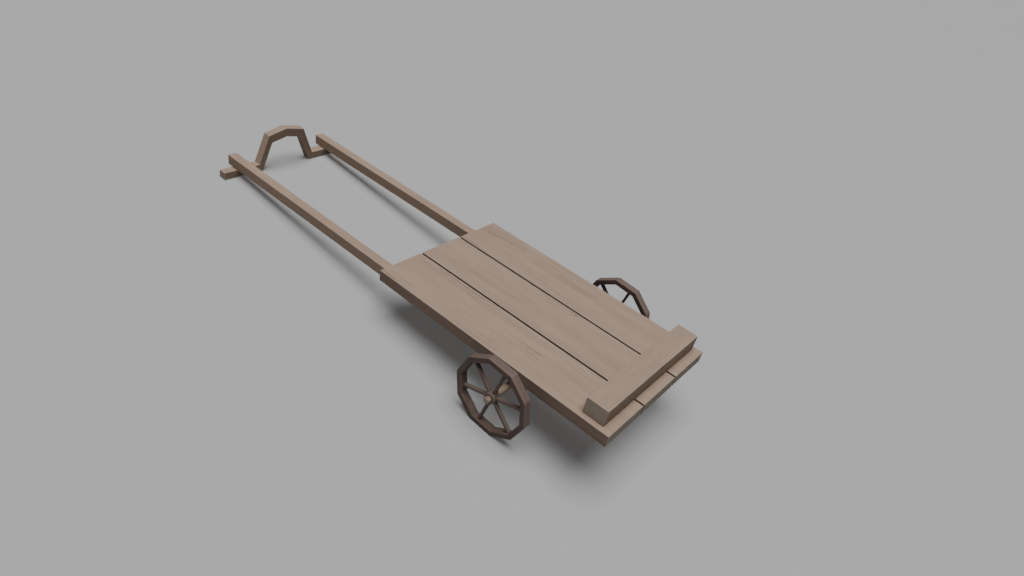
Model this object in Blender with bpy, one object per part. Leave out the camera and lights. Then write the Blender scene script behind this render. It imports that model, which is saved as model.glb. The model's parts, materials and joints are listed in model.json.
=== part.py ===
"""Two-wheeled flat draught cart, parked nose down on its wheels and its yoke bar.

Units are metres. +X is forward, +Y is left and +Z is up, with the origin on the floor at the
middle of the cart's footprint box. The body is drawn level, with x measured forward from the
deck's rear edge and z up from the deck's top, and then hung on an empty at the axle that pitches
it onto its yoke bar.
"""
import math

import bmesh
import bpy
from mathutils import Euler, Matrix, Vector

# Clearances
SEAT_GAP = 0.0003
RUNNING_GAP = 0.0006
END_PLAY = 0.002

# Deck of long planks, and the block across its rear end
DECK_LENGTH = 2.045
DECK_WIDTH = 1.250
DECK_THICKNESS = 0.090
PLANK_GAP = 0.016
BLOCK_DEPTH = 0.163
BLOCK_HEIGHT = 0.127
BLOCK_SETBACK = 0.069
BLOCK_INSET = 0.0435
BLOCK_HOUSING = 0.006

# Shafts let into the underside of the outer planks
SHAFT_WIDTH = 0.083
SHAFT_HEIGHT = 0.089
SHAFT_HOUSING = 0.010
SHAFT_INSET = 0.1215
SHAFT_REACH = 2.148
SHAFT_REAR_SETBACK = 0.120

# Bearers between the shafts, tenoned into them
BEARER_WIDTH = 0.070
BEARER_HEIGHT = 0.062
BEARER_END_SETBACK = 0.060
TENON_LENGTH = 0.050
TENON_WIDTH = 0.036
TENON_HEIGHT = 0.030

# Yoke bar under the shaft tips, bent up into an arch for the neck
YOKE_OVERHANG = 0.1215
YOKE_DEPTH = 0.079
YOKE_THICKNESS = 0.064
ARCH_LEG_THICKNESS = 0.058
ARCH_CROWN_THICKNESS = 0.079
YOKE_SETBACK = 0.059
ARCH_FOOT = 0.282
ARCH_SHOULDER = 0.182
ARCH_SHOULDER_RISE = 0.258
ARCH_RISE = 0.297

# Axle: a round bar with smaller arms, held in blocks under the shafts
AXLE_FROM_REAR = 0.7835
AXLE_DROP = 0.039
AXLE_RADIUS = 0.025
ARM_RADIUS = 0.022
ARM_STUB = 0.030
AXLE_BLOCK_LENGTH = 0.160
AXLE_BLOCK_BELOW = 0.022
PIN_RADIUS = 0.004
PIN_STANDS_OUT = 0.008
PIN_FROM_HUB = 0.016

# Wheels with a rim of straight facets, parked on a flat one
WHEEL_CLEARANCE = 0.08625
RIM_FACETS = 10
RIM_RADIUS = 0.302
RIM_THICKNESS = 0.040
RIM_WIDTH = 0.0625
FELLOE_COUNT = 3
SPOKE_COUNT = 6
SPOKE_WIDTH = 0.018
SPOKE_DEPTH = 0.030
SPOKE_TONGUE = 0.012
SPOKE_TONGUE_LENGTH = 0.014
FIRST_SPOKE_DEGREES = 3
ROLLED_FACETS = 1
HUB_RADIUS = 0.043
HUB_END_RADIUS = 0.040
HUB_LENGTH = 0.072
HUB_WAIST = 0.036
FACET_SPACING = 2 * math.pi / RIM_FACETS
SPOKE_SPACING = 2 * math.pi / SPOKE_COUNT
FIRST_SPOKE = math.radians(FIRST_SPOKE_DEGREES)

# Softened edges of the sawn timber
TIMBER_EDGE = 0.003
SMALL_EDGE = 0.0015
ROUND_SIDES = 32
PIN_SIDES = 12
EASED_CORNER_DEGREES = 50
SMOOTH_DEGREES = 35
TOLERANCE = 1e-6

# Widths that follow from the deck and what stands beside or on it
BLOCK_WIDTH = DECK_WIDTH - 2 * BLOCK_INSET
SHAFT_SPACING = DECK_WIDTH - 2 * SHAFT_INSET - SHAFT_WIDTH
YOKE_WIDTH = SHAFT_SPACING + SHAFT_WIDTH + 2 * YOKE_OVERHANG
TRACK = DECK_WIDTH + 2 * WHEEL_CLEARANCE + RIM_WIDTH

# Places that follow from the sizes, in the level body
HALF_DECK = DECK_WIDTH / 2
DECK_UNDERSIDE = -DECK_THICKNESS
BEARER_TOP = DECK_UNDERSIDE - SEAT_GAP
SHAFT_TOP = DECK_UNDERSIDE + SHAFT_HOUSING - SEAT_GAP
SHAFT_UNDERSIDE = SHAFT_TOP - SHAFT_HEIGHT
SHAFT_TIP = DECK_LENGTH + SHAFT_REACH
YOKE_TOP = SHAFT_UNDERSIDE - SEAT_GAP
YOKE_FRONT = SHAFT_TIP - YOKE_SETBACK
YOKE_UNDERSIDE = YOKE_TOP - YOKE_THICKNESS
AXLE_HEIGHT = SHAFT_UNDERSIDE - AXLE_DROP
WHEEL_APOTHEM = RIM_RADIUS * math.cos(FACET_SPACING / 2)
HALF_HUB = HUB_LENGTH / 2
SHOULDER = TRACK / 2 - HALF_HUB - END_PLAY
ARM_END = TRACK / 2 + HALF_HUB + ARM_STUB

# Colours as linear RGB, roughness and metallic value
FINISHES = {
    "deck_wood": ((0.335, 0.262, 0.208), 0.75, 0.0),
    "frame_wood": ((0.300, 0.232, 0.180), 0.75, 0.0),
    "wheel_wood": ((0.120, 0.088, 0.078), 0.70, 0.0),
    "pin_wood": ((0.270, 0.205, 0.155), 0.70, 0.0),
}


def clear_scene():
    """Remove every object that the scene starts with."""
    for item in list(bpy.data.objects):
        bpy.data.objects.remove(item, do_unlink=True)


def parked_pitch():
    """Return the nose-down angle that lays the yoke bar's front lower edge on the floor."""
    ahead = YOKE_FRONT - TIMBER_EDGE - AXLE_FROM_REAR
    above = YOKE_UNDERSIDE - AXLE_HEIGHT
    return math.asin(WHEEL_APOTHEM / math.hypot(ahead, above)) + math.atan2(above, ahead)


def finish(name):
    """Return the named material, made on first use."""
    if name in bpy.data.materials:
        return bpy.data.materials[name]
    colour, roughness, metallic = FINISHES[name]
    material = bpy.data.materials.new(name)
    material.use_nodes = True
    shader = material.node_tree.nodes["Principled BSDF"]
    shader.inputs["Base Color"].default_value = (*colour, 1.0)
    shader.inputs["Roughness"].default_value = roughness
    shader.inputs["Metallic"].default_value = metallic
    material.diffuse_color = (*colour, 1.0)
    return material


def empty(name, location, rotation=(0, 0, 0), parent=None):
    """Add an empty that carries pieces."""
    holder = bpy.data.objects.new(name, None)
    bpy.context.collection.objects.link(holder)
    holder.location = location
    holder.rotation_euler = Euler(rotation)
    holder.parent = parent
    return holder


def add_object(name, shape, material, parent, location=(0, 0, 0), rotation=(0, 0, 0)):
    """Turn a bmesh into a named object under its parent."""
    bmesh.ops.recalc_face_normals(shape, faces=shape.faces)
    mesh = bpy.data.meshes.new(name)
    shape.to_mesh(mesh)
    shape.free()
    mesh.materials.append(finish(material))
    piece = bpy.data.objects.new(name, mesh)
    bpy.context.collection.objects.link(piece)
    piece.parent = parent
    piece.location = location
    piece.rotation_euler = Euler(rotation)
    return piece


def box(shape, low, high):
    """Add a box between two corners to a bmesh."""
    centre = (Vector(low) + Vector(high)) / 2
    size = Vector(high) - Vector(low)
    place = Matrix.Translation(centre) @ Matrix.Diagonal((*size, 1.0))
    bmesh.ops.create_cube(shape, size=1.0, matrix=place)


def block(low, high):
    """Return a bmesh of one box."""
    shape = bmesh.new()
    box(shape, low, high)
    return shape


def prism(outline, start, end, axis):
    """Return a bmesh of an outline drawn in the two other axes and extruded along axis."""
    shape = bmesh.new()
    place = {
        "x": lambda u, v: (start, u, v),
        "y": lambda u, v: (u, start, v),
    }[axis]
    step = {"x": (end - start, 0, 0), "y": (0, end - start, 0)}[axis]
    corners = [shape.verts.new(place(u, v)) for u, v in outline]
    face = shape.faces.new(corners)
    swept = bmesh.ops.extrude_face_region(shape, geom=[face])
    moved = [item for item in swept["geom"] if isinstance(item, bmesh.types.BMVert)]
    bmesh.ops.translate(shape, verts=moved, vec=step)
    return shape


def turned(profile, sides=ROUND_SIDES):
    """Return a bmesh of (radius, place along y) points turned about the y axis."""
    shape = bmesh.new()
    points = [shape.verts.new((radius, along, 0)) for radius, along in profile]
    edges = [shape.edges.new(pair) for pair in zip(points, points[1:])]
    bmesh.ops.spin(
        shape, geom=points + edges, cent=(0, 0, 0), axis=(0, 1, 0),
        angle=2 * math.pi, steps=sides, use_merge=True,
    )
    bmesh.ops.remove_doubles(shape, verts=shape.verts, dist=TOLERANCE)
    return shape


def soften(piece, width=TIMBER_EDGE):
    """Ease the sawn edges of a piece."""
    bevel = piece.modifiers.new("eased_edges", "BEVEL")
    bevel.width = width
    bevel.segments = 1
    bevel.limit_method = "ANGLE"
    bevel.angle_limit = math.radians(EASED_CORNER_DEGREES)
    bevel.use_clamp_overlap = True


def cut(piece, cutter):
    """Cut a piece with a hidden cutter."""
    cutter.hide_render = True
    cutter.display_type = "WIRE"
    difference = piece.modifiers.new("cut_" + cutter.name, "BOOLEAN")
    difference.operation = "DIFFERENCE"
    difference.solver = "EXACT"
    difference.object = cutter


def shade_round(piece):
    """Shade a turned piece smooth, with its corners kept sharp."""
    piece.data.shade_smooth()
    piece.data.set_sharp_from_angle(angle=math.radians(SMOOTH_DEGREES))


# Deck

def groove_cutter(body):
    """Return the cutter of the grooves that the shafts lie in."""
    grooves = bmesh.new()
    for side in (-1, 1):
        centre = side * SHAFT_SPACING / 2
        half = SHAFT_WIDTH / 2 + SEAT_GAP
        box(grooves,
            (SHAFT_REAR_SETBACK - SEAT_GAP, centre - half, DECK_UNDERSIDE - SHAFT_HOUSING),
            (SHAFT_TIP, centre + half, DECK_UNDERSIDE + SHAFT_HOUSING))
    return add_object("groove_cutter", grooves, "deck_wood", body)


def build_block(body):
    """Set the block across the planks, and return the cutter of the housing that it sits in."""
    half = BLOCK_WIDTH / 2
    front = BLOCK_SETBACK + BLOCK_DEPTH
    shape = block((BLOCK_SETBACK, -half, SEAT_GAP - BLOCK_HOUSING), (front, half, BLOCK_HEIGHT))
    soften(add_object("rear_block", shape, "deck_wood", body))
    housing = block((BLOCK_SETBACK - SEAT_GAP, -half - SEAT_GAP, -BLOCK_HOUSING),
                    (front + SEAT_GAP, half + SEAT_GAP, BLOCK_HEIGHT))
    return add_object("housing_cutter", housing, "deck_wood", body)


def build_deck(body):
    """Lay the planks from left to right, with the block let in across their rear ends."""
    names = ("left", "centre", "right")
    grooves = groove_cutter(body)
    housing = build_block(body)
    width = (DECK_WIDTH - (len(names) - 1) * PLANK_GAP) / len(names)
    for index, name in enumerate(names):
        left = HALF_DECK - index * (width + PLANK_GAP)
        shape = block((0, left - width, DECK_UNDERSIDE), (DECK_LENGTH, left, 0))
        plank = add_object("deck_plank_" + name, shape, "deck_wood", body)
        soften(plank)
        cut(plank, housing)
        if name != "centre":
            cut(plank, grooves)


# Frame under the deck

def bearer_places():
    """Return the middle of each bearer, from the rear to the front."""
    rear = SHAFT_REAR_SETBACK + BEARER_END_SETBACK + BEARER_WIDTH / 2
    front = DECK_LENGTH - BEARER_END_SETBACK - BEARER_WIDTH / 2
    return {"rear": rear, "middle": (rear + front) / 2, "front": front}


def bearer_shape(along, half_length):
    """Return a bearer with a tenon at each end."""
    middle = BEARER_TOP - BEARER_HEIGHT / 2
    half_width = BEARER_WIDTH / 2
    shape = block((along - half_width, -half_length, BEARER_TOP - BEARER_HEIGHT),
                  (along + half_width, half_length, BEARER_TOP))
    for side in (-1, 1):
        end = [max(shape.faces, key=lambda face: face.normal.y * side)]
        bmesh.ops.inset_region(shape, faces=end, thickness=SEAT_GAP, use_even_offset=True)
        seat = (along, side * half_length, middle)
        for vert in end[0].verts:
            vert.co.x = seat[0] + math.copysign(TENON_WIDTH / 2, vert.co.x - seat[0])
            vert.co.z = seat[2] + math.copysign(TENON_HEIGHT / 2, vert.co.z - seat[2])
        swept = bmesh.ops.extrude_face_region(shape, geom=end)
        moved = [item for item in swept["geom"] if isinstance(item, bmesh.types.BMVert)]
        bmesh.ops.translate(shape, verts=moved, vec=(0, side * TENON_LENGTH, 0))
        bmesh.ops.delete(shape, geom=end, context="FACES")
    return shape


def build_frame(body):
    """Set the shafts under the deck, with mortises for the bearers that join them."""
    inner_face = SHAFT_SPACING / 2 - SHAFT_WIDTH / 2
    half_bearer = inner_face - SEAT_GAP
    middle = BEARER_TOP - BEARER_HEIGHT / 2
    room = 2 * SEAT_GAP
    mortises = bmesh.new()
    for name, along in bearer_places().items():
        bearer = bearer_shape(along, half_bearer)
        add_object("bearer_" + name, bearer, "frame_wood", body)
        reach = half_bearer + TENON_LENGTH + room
        box(mortises,
            (along - TENON_WIDTH / 2 - SEAT_GAP, -reach, middle - TENON_HEIGHT / 2 - SEAT_GAP),
            (along + TENON_WIDTH / 2 + SEAT_GAP, reach, middle + TENON_HEIGHT / 2 + SEAT_GAP))
    cutter = add_object("mortise_cutter", mortises, "frame_wood", body)
    for name, side in (("left", 1), ("right", -1)):
        centre = side * SHAFT_SPACING / 2
        low = (SHAFT_REAR_SETBACK, centre - SHAFT_WIDTH / 2, SHAFT_UNDERSIDE)
        high = (SHAFT_TIP, centre + SHAFT_WIDTH / 2, SHAFT_TOP)
        shaft = add_object("shaft_" + name, block(low, high), "frame_wood", body)
        soften(shaft)
        cut(shaft, cutter)


# Yoke

def underside_of(line, thicknesses):
    """Return the line below an open line of runs, each run moved down by its own thickness."""
    runs = [Vector(after) - Vector(before) for before, after in zip(line, line[1:])]
    sides = [Vector((run.y, -run.x)).normalized() for run in runs]
    depths = [side.dot(Vector(point)) + thickness
              for side, point, thickness in zip(sides, line, thicknesses)]
    lower = [Vector(line[0]) + sides[0] * thicknesses[0]]
    for index in range(len(runs) - 1):
        crossing = Matrix((sides[index], sides[index + 1])).inverted()
        lower.append(crossing @ Vector((depths[index], depths[index + 1])))
    lower.append(Vector(line[-1]) + sides[-1] * thicknesses[-1])
    return [(point.x, point.y) for point in lower]


def build_yoke(body):
    """Bend the yoke bar up into an arch of straight runs between the shafts."""
    half = [
        (YOKE_WIDTH / 2, YOKE_TOP),
        (ARCH_FOOT, YOKE_TOP),
        (ARCH_SHOULDER, YOKE_TOP + ARCH_SHOULDER_RISE),
    ]
    top = [(-across, height) for across, height in half]
    top.append((0, YOKE_TOP + ARCH_RISE))
    top.extend(reversed(half))
    half_runs = [YOKE_THICKNESS, ARCH_LEG_THICKNESS, ARCH_CROWN_THICKNESS]
    outline = top + underside_of(top, half_runs + half_runs[::-1])[::-1]
    yoke = prism(outline, YOKE_FRONT - YOKE_DEPTH, YOKE_FRONT, "x")
    soften(add_object("yoke", yoke, "frame_wood", body))


# Axle

def build_axle(body):
    """Hang the axle under the shafts, in a bored block under each, with a pin in each end."""
    centre = (AXLE_FROM_REAR, 0, AXLE_HEIGHT)
    half_profile = [
        (AXLE_RADIUS - SMALL_EDGE, SHOULDER), (ARM_RADIUS, SHOULDER),
        (ARM_RADIUS, ARM_END - SMALL_EDGE), (ARM_RADIUS - SMALL_EDGE, ARM_END), (0, ARM_END),
    ]
    half_profile.insert(0, (AXLE_RADIUS, SHOULDER - SMALL_EDGE))
    profile = [(radius, -along) for radius, along in reversed(half_profile)] + half_profile
    axle = add_object("axle", turned(profile), "frame_wood", body, centre)
    pin_place = TRACK / 2 + HALF_HUB + PIN_FROM_HUB
    pin_length = 2 * (ARM_RADIUS + PIN_STANDS_OUT)
    holes = bmesh.new()
    bores = bmesh.new()
    along_y = Matrix.Rotation(math.pi / 2, 4, "X")
    bmesh.ops.create_cone(bores, cap_ends=True, segments=ROUND_SIDES, matrix=along_y,
                          radius1=AXLE_RADIUS + SEAT_GAP, radius2=AXLE_RADIUS + SEAT_GAP,
                          depth=SHAFT_SPACING + 2 * SHAFT_WIDTH)
    bore_cutter = add_object("axle_bore_cutter", bores, "frame_wood", body, centre)
    for name, side in (("left", 1), ("right", -1)):
        place = Matrix.Translation((0, side * pin_place, 0))
        pin = bmesh.new()
        bmesh.ops.create_cone(pin, cap_ends=True, segments=PIN_SIDES, matrix=place,
                              radius1=PIN_RADIUS, radius2=PIN_RADIUS, depth=pin_length)
        shade_round(add_object("linchpin_" + name, pin, "pin_wood", body, centre))
        bmesh.ops.create_cone(holes, cap_ends=True, segments=PIN_SIDES, matrix=place,
                              radius1=PIN_RADIUS + SEAT_GAP, radius2=PIN_RADIUS + SEAT_GAP,
                              depth=pin_length)
        across = side * SHAFT_SPACING / 2
        half_length = AXLE_BLOCK_LENGTH / 2
        low = (AXLE_FROM_REAR - half_length, across - SHAFT_WIDTH / 2,
               AXLE_HEIGHT - AXLE_RADIUS - AXLE_BLOCK_BELOW)
        high = (AXLE_FROM_REAR + half_length, across + SHAFT_WIDTH / 2,
                SHAFT_UNDERSIDE - SEAT_GAP)
        holder = add_object("axle_block_" + name, block(low, high), "frame_wood", body)
        soften(holder)
        cut(holder, bore_cutter)
    cut(axle, add_object("pin_hole_cutter", holes, "frame_wood", body, centre))
    shade_round(axle)


# Wheels

def rim_point(angle, corner_radius):
    """Return the point of the faceted rim at an angle about the axle."""
    turn = (angle + FACET_SPACING / 2) % FACET_SPACING - FACET_SPACING / 2
    off_middle = FACET_SPACING / 2 - abs(turn)
    radius = corner_radius * math.cos(FACET_SPACING / 2) / math.cos(off_middle)
    return radius * math.cos(angle), radius * math.sin(angle)


def felloe_angles(start, end):
    """Return the angles of a felloe's ends and of the rim corners between them."""
    first = math.floor(start / FACET_SPACING + TOLERANCE) + 1
    corners = []
    while first * FACET_SPACING < end - TOLERANCE:
        corners.append(first * FACET_SPACING)
        first += 1
    return [start, *corners, end]


def build_felloes(name, wheel, spoke_slots):
    """Build the rim from faceted sections that meet midway between spokes."""
    sweep = 2 * math.pi / FELLOE_COUNT
    inner_radius = RIM_RADIUS - RIM_THICKNESS
    half_joint = SEAT_GAP / 2 / inner_radius
    for index in range(FELLOE_COUNT):
        start = FIRST_SPOKE + SPOKE_SPACING / 2 + index * sweep + half_joint
        angles = felloe_angles(start, start + sweep - 2 * half_joint)
        outer = [rim_point(angle, RIM_RADIUS) for angle in angles]
        inner = [rim_point(angle, inner_radius) for angle in reversed(angles)]
        felloe = prism(outer + inner, -RIM_WIDTH / 2, RIM_WIDTH / 2, "y")
        piece = add_object(f"{name}_felloe_{index + 1}", felloe, "wheel_wood", wheel)
        soften(piece, SMALL_EDGE)
        cut(piece, spoke_slots)


def facet_distance(angle, offset, corner_radius):
    """Return how far along a spoke's direction the rim lies, offset to the spoke's side."""
    middle = math.floor(angle / FACET_SPACING) * FACET_SPACING + FACET_SPACING / 2
    apothem = corner_radius * math.cos(FACET_SPACING / 2)
    slant = angle - middle
    return (apothem + offset * math.sin(slant)) / math.cos(slant)


def spoke_shape(angle):
    """Return a spoke along its angle, with a tongue at each end."""
    inner_radius = RIM_RADIUS - RIM_THICKNESS
    root = HUB_RADIUS + SEAT_GAP
    seat = facet_distance(angle, 0, inner_radius) - SEAT_GAP
    shape = block((root, -SPOKE_DEPTH / 2, -SPOKE_WIDTH / 2),
                  (seat, SPOKE_DEPTH / 2, SPOKE_WIDTH / 2))
    for side in (-1, 1):
        end = [max(shape.faces, key=lambda face: face.normal.x * side)]
        if side > 0:
            for vert in end[0].verts:
                vert.co.x = facet_distance(angle, vert.co.z, inner_radius) - SEAT_GAP
        bmesh.ops.inset_region(shape, faces=end, thickness=SMALL_EDGE)
        for vert in end[0].verts:
            vert.co.y = math.copysign(SPOKE_TONGUE / 2, vert.co.y)
            vert.co.z = math.copysign(SPOKE_TONGUE / 2, vert.co.z)
            if side > 0:
                vert.co.x = facet_distance(angle, vert.co.z, inner_radius) - SEAT_GAP
        swept = bmesh.ops.extrude_face_region(shape, geom=end)
        tip = seat + SPOKE_TONGUE_LENGTH if side > 0 else root - SPOKE_TONGUE_LENGTH
        for item in swept["geom"]:
            if isinstance(item, bmesh.types.BMVert):
                item.co.x = tip
        bmesh.ops.delete(shape, geom=end, context="FACES")
    bmesh.ops.transform(shape, matrix=Matrix.Rotation(-angle, 4, "Y"), verts=shape.verts)
    return shape


def slot_shape(slots, angle):
    """Add the slots of one spoke's tongues, in the hub and in the rim, to the cutter."""
    half = SPOKE_TONGUE / 2 + SEAT_GAP
    deeper = SPOKE_TONGUE_LENGTH + 2 * SEAT_GAP
    rim = facet_distance(angle, 0, RIM_RADIUS - RIM_THICKNESS)
    before = set(slots.verts)
    box(slots, (HUB_RADIUS - deeper, -half, -half), (HUB_RADIUS + deeper, half, half))
    box(slots, (rim - deeper, -half, -half), (rim + deeper, half, half))
    added = [vert for vert in slots.verts if vert not in before]
    bmesh.ops.transform(slots, matrix=Matrix.Rotation(-angle, 4, "Y"), verts=added)


def build_wheel(name, wheel):
    """Build a hub, its spokes and the rim's felloes round the axle's arm."""
    slots = bmesh.new()
    for index in range(SPOKE_COUNT):
        angle = FIRST_SPOKE + index * SPOKE_SPACING
        add_object(f"{name}_spoke_{index + 1}", spoke_shape(angle), "wheel_wood", wheel)
        slot_shape(slots, angle)
    cutter = add_object(name + "_slot_cutter", slots, "wheel_wood", wheel)
    bore = ARM_RADIUS + RUNNING_GAP
    profile = [
        (bore, -HALF_HUB), (HUB_END_RADIUS, -HALF_HUB), (HUB_RADIUS, -HUB_WAIST / 2),
        (HUB_RADIUS, HUB_WAIST / 2), (HUB_END_RADIUS, HALF_HUB), (bore, HALF_HUB),
        (bore, -HALF_HUB),
    ]
    hub = add_object(name + "_hub", turned(profile), "wheel_wood", wheel)
    cut(hub, cutter)
    shade_round(hub)
    build_felloes(name, wheel, cutter)


def centre_on_floor(root):
    """Slide the whole cart along X until its box is centred on the origin."""
    bpy.context.view_layer.update()
    graph = bpy.context.evaluated_depsgraph_get()
    ends = []
    for item in bpy.data.objects:
        if item.type != "MESH" or item.hide_render:
            continue
        shown = item.evaluated_get(graph)
        ends.extend((shown.matrix_world @ vert.co).x for vert in shown.data.vertices)
    root.location.x -= (min(ends) + max(ends)) / 2


def build_cart():
    """Build the whole cart."""
    clear_scene()
    root = empty("cart_place", (0, 0, WHEEL_APOTHEM))
    pitched = empty("axle_pitch", (0, 0, 0), (0, parked_pitch(), 0), root)
    body = empty("level_body", (-AXLE_FROM_REAR, 0, -AXLE_HEIGHT), parent=pitched)
    build_deck(body)
    build_frame(body)
    build_yoke(body)
    build_axle(body)
    rolled = (0, -ROLLED_FACETS * FACET_SPACING, 0)
    for name, side in (("left", 1), ("right", -1)):
        wheel = empty(f"wheel_{name}_axis", (0, side * TRACK / 2, 0), rolled, root)
        build_wheel("wheel_" + name, wheel)
    centre_on_floor(root)


build_cart()
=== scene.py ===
"""Two-wheeled flat draught cart in weathered timber, dressed for a studio picture.

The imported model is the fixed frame. Each timber is rebuilt round its node with rounded, worn edges and
a grain that follows it, and rides on the node's body. Lengths are in metres. The level axes have their
origin at the axle's centre, with x forward along the deck, y to the left and z square to the deck.
"""

import json
import logging
import math
from dataclasses import dataclass, field, replace
from enum import Enum, IntEnum
from typing import Any, Callable, Sequence

import bmesh
import bpy
from mathutils import Matrix, Vector, noise


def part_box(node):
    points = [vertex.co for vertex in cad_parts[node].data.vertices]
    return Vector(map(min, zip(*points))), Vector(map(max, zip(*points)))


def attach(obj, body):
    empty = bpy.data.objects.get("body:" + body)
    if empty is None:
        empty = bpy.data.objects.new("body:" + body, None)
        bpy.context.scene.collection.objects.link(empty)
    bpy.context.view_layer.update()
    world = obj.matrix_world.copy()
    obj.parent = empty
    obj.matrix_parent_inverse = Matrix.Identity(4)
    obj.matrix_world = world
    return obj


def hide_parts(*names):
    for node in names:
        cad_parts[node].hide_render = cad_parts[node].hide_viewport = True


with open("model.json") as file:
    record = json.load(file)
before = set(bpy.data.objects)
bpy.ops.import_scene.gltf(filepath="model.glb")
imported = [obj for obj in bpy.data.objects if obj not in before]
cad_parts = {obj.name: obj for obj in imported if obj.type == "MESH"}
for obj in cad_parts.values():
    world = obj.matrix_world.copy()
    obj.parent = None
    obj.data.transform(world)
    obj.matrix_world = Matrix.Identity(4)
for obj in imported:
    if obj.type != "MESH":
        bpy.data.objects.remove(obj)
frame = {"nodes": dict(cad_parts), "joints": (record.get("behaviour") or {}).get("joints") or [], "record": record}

LOG = logging.getLogger("draught_cart")
SEAT_GAP = 0.0003
MERGE_DISTANCE = 1e-6
CREASE_ANGLE = math.radians(12)
SMOOTH_ANGLE = math.radians(40)
SQUARE_CORNER = math.radians(70)
FLAT_ANGLE = math.radians(1)
ROUNDING_SEGMENTS = 3
UP = Vector((0.0, 0.0, 1.0))
DOWN = Vector((0.0, 0.0, -1.0))
WHITE = (1.0, 1.0, 1.0, 1.0)
USUAL_NOISE = (0.3, 0.7)
SIDES = ("left", "right")
BEARERS = ("bearer_rear", "bearer_middle", "bearer_front")

# How a seed moves a timber's figure: on along the grain, and round a middle place in each cross direction
FIGURE_STEP = 0.83
HEART_MIDDLE = (0.06, 0.05)
HEART_SWING = (0.17, 0.13)
HEART_TURN = (2.3, 1.7)

Triple = tuple[float, float, float]
Limits = tuple[float, float]
PlaceRule = Callable[[Vector], Vector]
Shape = bmesh.types.BMesh
Vert = bmesh.types.BMVert
Edge = bmesh.types.BMEdge
Face = bmesh.types.BMFace
Socket = bpy.types.NodeSocket
Tree = bpy.types.NodeTree


# Places read from the frame

@dataclass(frozen=True)
class Span:
    """A box between two corners, in level axes or in a wheel's own axes."""

    low: Vector
    high: Vector

    @property
    def centre(self) -> Vector:
        """Return the middle of the box."""
        return (self.low + self.high) / 2

    @property
    def size(self) -> Vector:
        """Return the box's three lengths."""
        return self.high - self.low

    def edges_of(self, shape: Shape) -> list[Edge]:
        """Return a mesh's edges that lie on the box's own edges, where two of its sides meet.

        Args:
            shape: The mesh.

        Returns:
            The edges, in the mesh's order.
        """
        sides = [(axis, corner[axis]) for corner in (self.low, self.high) for axis in range(3)]
        found = []
        for edge in shape.edges:
            shared = [all(abs(vert.co[axis] - side) < MERGE_DISTANCE for vert in edge.verts)
                      for axis, side in sides]
            if sum(shared) == 2:
                found.append(edge)
        return found


@dataclass(frozen=True)
class LevelAxes:
    """The cart's own axes, which the parked cart tips nose down about its axle."""

    to_floor: Matrix

    @classmethod
    def of_record(cls, record: dict[str, Any]) -> "LevelAxes":
        """Read the axle's place and the deck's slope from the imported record.

        Args:
            record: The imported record, with its joints and mounts.

        Returns:
            The cart's level axes.
        """
        hinge = record["behaviour"]["joints"][0]["pos_m"]
        up = next(mount["axis"] for mount in record["mounts"] if mount["name"] == "deck_top")
        pitch = Matrix.Rotation(math.atan2(up[0], up[2]), 4, "Y")
        return cls(Matrix.Translation(Vector((hinge[0], 0.0, hinge[2]))) @ pitch)

    def span(self, node: str) -> Span:
        """Measure a node's box in level axes.

        Args:
            node: The node's name.

        Returns:
            The box that holds the node.
        """
        back = self.to_floor.inverted()
        places = [back @ vert.co for vert in frame["nodes"][node].data.vertices]
        low = Vector(min(place[axis] for place in places) for axis in range(3))
        high = Vector(max(place[axis] for place in places) for axis in range(3))
        return Span(low, high)


# Wear and grain

class Seed(IntEnum):
    """The number that a piece's figure is drawn from, or that of the first of several pieces."""

    PLANK = 1
    BLOCK = 9
    SHAFT = 21
    BEARER = 31
    AXLE = 41
    AXLE_BLOCK = 49
    LINCHPIN = 50
    YOKE = 61
    LEFT_WHEEL = 70
    RIGHT_WHEEL = 90
    PEG = 120


class Grain(Enum):
    """The way that a straight timber's grain runs, as the order of its axes from the grain outward."""

    FORWARD = (0, 1, 2)
    ACROSS = (1, 0, 2)
    UPRIGHT = (2, 1, 0)

    @property
    def axis(self) -> int:
        """Return the index of the axis that the grain follows."""
        return self.value[0]

    def place(self, point: Vector) -> Vector:
        """Return a point's place along the grain and in its two cross directions."""
        return Vector(point[axis] for axis in self.value)


@dataclass(frozen=True)
class Wear:
    """How far use has worn a timber's faces and edges in."""

    face_depth: float = 0.0003
    edge_depth: float = 0.0009
    nick_depth: float = 0.0030
    wave_length: float = 0.070
    nick_length: float = 0.024
    nick_threshold: float = 0.22

    def sink(self, place: Vector, edge: float) -> float:
        """Return how far a point sinks in.

        Args:
            place: The point's place in the grain.
            edge: One on a corner of the timber and nought away from it.

        Returns:
            The depth, never below nought.
        """
        slow = 0.5 + 0.5 * noise.noise(place / self.wave_length)
        nick = max(0.0, noise.noise(place / self.nick_length) - self.nick_threshold)
        return self.face_depth * slow + edge * (self.edge_depth * slow + self.nick_depth * nick)


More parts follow.
